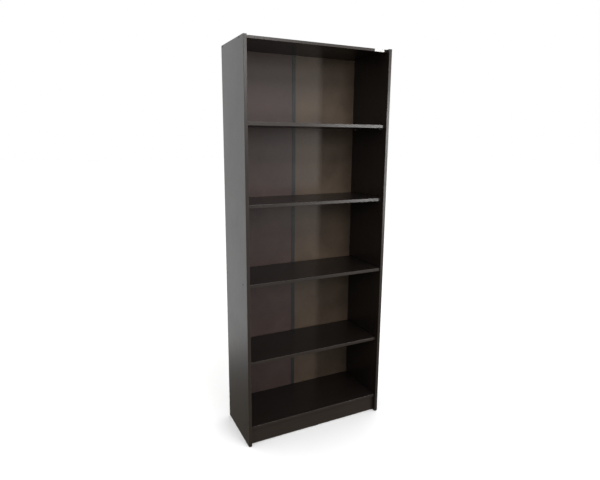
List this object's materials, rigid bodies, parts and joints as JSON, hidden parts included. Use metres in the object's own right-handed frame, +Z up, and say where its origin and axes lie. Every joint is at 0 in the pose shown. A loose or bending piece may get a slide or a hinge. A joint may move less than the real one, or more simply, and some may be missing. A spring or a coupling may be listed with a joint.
{
  "type": "bookcase",
  "caption": "Tall narrow open bookcase with loose shelves on steel pins, a fixed middle shelf, a kick plate and a thin two-part back.",
  "frame": {"origin": "on the floor, at the centre of the plan", "axes": "+Z up, +X to the right as seen from the front, the open front faces -Y"},
  "size_m": [0.71, 0.2954, 1.8],
  "materials": {
    "laminate": "semi-gloss dark espresso laminate",
    "hardboard": "satin dark brown coated hardboard",
    "strip_plastic": "satin extruded plastic",
    "glide_plastic": "moulded black plastic",
    "dark_steel": "dark bronzed steel",
    "beech": "plain fluted beech",
    "label_paper": "plain white paper",
    "nickel": "nickel-plated steel"
  },
  "bodies": {
    "carcass": {"side_left": "laminate", "side_right": "laminate", "top_panel": "laminate", "fixed_shelf": "laminate", "bottom_shelf": "laminate", "kick_plate": "laminate", "back_left": "hardboard", "back_right": "hardboard", "back_joining_strip": "strip_plastic", "glide_left_front": "glide_plastic", "glide_left_rear": "glide_plastic", "glide_right_front": "glide_plastic", "glide_right_rear": "glide_plastic", "glide_centre": "glide_plastic", "top_screw_left_front": "dark_steel", "top_screw_left_rear": "dark_steel", "top_screw_right_front": "dark_steel", "top_screw_right_rear": "dark_steel", "fixed_shelf_screw_left_front": "dark_steel", "fixed_shelf_screw_left_rear": "dark_steel", "fixed_shelf_screw_right_front": "dark_steel", "fixed_shelf_screw_right_rear": "dark_steel", "bottom_shelf_screw_left_front": "dark_steel", "bottom_shelf_screw_left_rear": "dark_steel", "bottom_shelf_screw_right_front": "dark_steel", "bottom_shelf_screw_right_rear": "dark_steel", "kick_dowel_left_lower": "beech", "kick_dowel_left_upper": "beech", "kick_dowel_right_lower": "beech", "kick_dowel_right_upper": "beech", "blank_label": "label_paper"},
    "upper_shelf": {"upper_shelf": "laminate"},
    "second_shelf": {"second_shelf": "laminate"},
    "lower_shelf": {"lower_shelf": "laminate"},
    "upper_shelf_pin_left_front": {"upper_shelf_pin_left_front": "nickel"},
    "upper_shelf_pin_left_rear": {"upper_shelf_pin_left_rear": "nickel"},
    "upper_shelf_pin_right_front": {"upper_shelf_pin_right_front": "nickel"},
    "upper_shelf_pin_right_rear": {"upper_shelf_pin_right_rear": "nickel"},
    "second_shelf_pin_left_front": {"second_shelf_pin_left_front": "nickel"},
    "second_shelf_pin_left_rear": {"second_shelf_pin_left_rear": "nickel"},
    "second_shelf_pin_right_front": {"second_shelf_pin_right_front": "nickel"},
    "second_shelf_pin_right_rear": {"second_shelf_pin_right_rear": "nickel"},
    "lower_shelf_pin_left_front": {"lower_shelf_pin_left_front": "nickel"},
    "lower_shelf_pin_left_rear": {"lower_shelf_pin_left_rear": "nickel"},
    "lower_shelf_pin_right_front": {"lower_shelf_pin_right_front": "nickel"},
    "lower_shelf_pin_right_rear": {"lower_shelf_pin_right_rear": "nickel"}
  },
  "joints": [
    {"name": "upper_shelf_lift", "type": "slide", "parent": "carcass", "child": "upper_shelf", "axis": [0, 0, 1], "range_m": [0, 0.064]},
    {"name": "second_shelf_lift", "type": "slide", "parent": "carcass", "child": "second_shelf", "axis": [0, 0, 1], "range_m": [0, 0.064]},
    {"name": "lower_shelf_lift", "type": "slide", "parent": "carcass", "child": "lower_shelf", "axis": [0, 0, 1], "range_m": [0, 0.096]},
    {"name": "upper_shelf_pin_left_front_pull", "type": "slide", "parent": "carcass", "child": "upper_shelf_pin_left_front", "axis": [1, 0, 0], "range_m": [0, 0.0095]},
    {"name": "upper_shelf_pin_left_rear_pull", "type": "slide", "parent": "carcass", "child": "upper_shelf_pin_left_rear", "axis": [1, 0, 0], "range_m": [0, 0.0095]},
    {"name": "upper_shelf_pin_right_front_pull", "type": "slide", "parent": "carcass", "child": "upper_shelf_pin_right_front", "axis": [-1, 0, 0], "range_m": [0, 0.0095]},
    {"name": "upper_shelf_pin_right_rear_pull", "type": "slide", "parent": "carcass", "child": "upper_shelf_pin_right_rear", "axis": [-1, 0, 0], "range_m": [0, 0.0095]},
    {"name": "second_shelf_pin_left_front_pull", "type": "slide", "parent": "carcass", "child": "second_shelf_pin_left_front", "axis": [1, 0, 0], "range_m": [0, 0.0095]},
    {"name": "second_shelf_pin_left_rear_pull", "type": "slide", "parent": "carcass", "child": "second_shelf_pin_left_rear", "axis": [1, 0, 0], "range_m": [0, 0.0095]},
    {"name": "second_shelf_pin_right_front_pull", "type": "slide", "parent": "carcass", "child": "second_shelf_pin_right_front", "axis": [-1, 0, 0], "range_m": [0, 0.0095]},
    {"name": "second_shelf_pin_right_rear_pull", "type": "slide", "parent": "carcass", "child": "second_shelf_pin_right_rear", "axis": [-1, 0, 0], "range_m": [0, 0.0095]},
    {"name": "lower_shelf_pin_left_front_pull", "type": "slide", "parent": "carcass", "child": "lower_shelf_pin_left_front", "axis": [1, 0, 0], "range_m": [0, 0.0095]},
    {"name": "lower_shelf_pin_left_rear_pull", "type": "slide", "parent": "carcass", "child": "lower_shelf_pin_left_rear", "axis": [1, 0, 0], "range_m": [0, 0.0095]},
    {"name": "lower_shelf_pin_right_front_pull", "type": "slide", "parent": "carcass", "child": "lower_shelf_pin_right_front", "axis": [-1, 0, 0], "range_m": [0, 0.0095]},
    {"name": "lower_shelf_pin_right_rear_pull", "type": "slide", "parent": "carcass", "child": "lower_shelf_pin_right_rear", "axis": [-1, 0, 0], "range_m": [0, 0.0095]}
  ]
}
